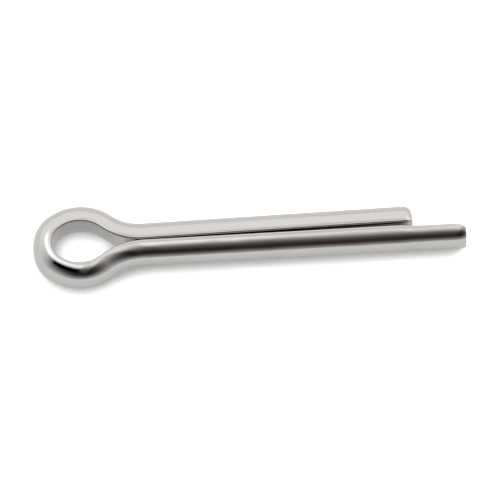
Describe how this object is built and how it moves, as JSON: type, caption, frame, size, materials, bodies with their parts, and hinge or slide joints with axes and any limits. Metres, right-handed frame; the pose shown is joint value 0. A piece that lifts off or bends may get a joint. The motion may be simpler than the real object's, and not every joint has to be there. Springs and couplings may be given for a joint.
{
  "type": "cotter pin",
  "caption": "Split cotter pin of half-round steel wire with an eye at one end and two straight prongs, one longer, that bend apart to lock it in a cross hole.",
  "frame": {"origin": "on the shank's axis, where the straight prongs begin beside the eye", "axes": "+X along the shank towards the tips, +Z square to the eye's plane, up as the pin lies, +Y towards the short prong"},
  "size_m": [0.0576, 0.0111, 0.0058],
  "materials": {
    "steel": "bright drawn stainless steel wire, lightly polished, bare"
  },
  "bodies": {
    "root": {"cotter_pin": "steel"}
  },
  "joints": []
}
